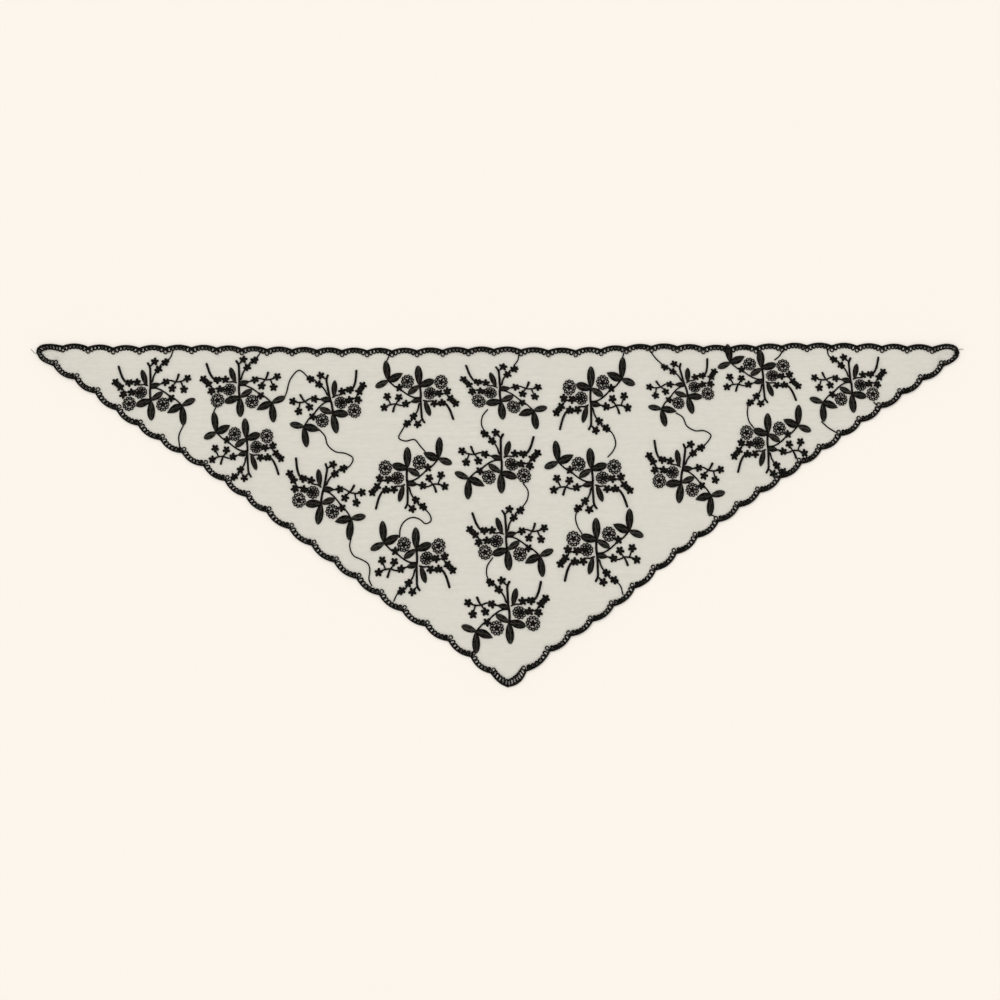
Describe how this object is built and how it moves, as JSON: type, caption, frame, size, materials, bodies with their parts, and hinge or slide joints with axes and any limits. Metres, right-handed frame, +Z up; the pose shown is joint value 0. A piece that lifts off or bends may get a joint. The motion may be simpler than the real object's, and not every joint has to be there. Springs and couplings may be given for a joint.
{
  "type": "lace headscarf",
  "caption": "Triangular sheer gauze headscarf with a scalloped black lace border and scattered embroidered flower sprigs, laid flat, its long ends free to be knotted.",
  "frame": {"origin": "middle of the scarf's box on the surface that it lies on", "axes": "+X along the long straight edge, +Y from the foot of the triangle towards that edge, +Z up out of the cloth"},
  "size_m": [1.3802, 0.5154, 0.0023],
  "materials": {
    "gauze": "sheer ivory crinkled gauze, matte",
    "embroidery": "near-black embroidery thread with a soft satin sheen"
  },
  "bodies": {
    "root": {"ground_cloth": "gauze", "border_top": "embroidery", "border_right": "embroidery", "border_left": "embroidery", "sprig_01": "embroidery", "sprig_02": "embroidery", "sprig_03": "embroidery", "sprig_04": "embroidery", "sprig_05": "embroidery", "sprig_06": "embroidery", "sprig_07": "embroidery", "sprig_08": "embroidery", "sprig_09": "embroidery", "sprig_10": "embroidery", "sprig_11": "embroidery", "sprig_12": "embroidery", "sprig_13": "embroidery", "sprig_14": "embroidery", "sprig_15": "embroidery", "sprig_16": "embroidery", "sprig_17": "embroidery", "sprig_18": "embroidery", "sprig_19": "embroidery", "sprig_20": "embroidery"}
  },
  "joints": []
}
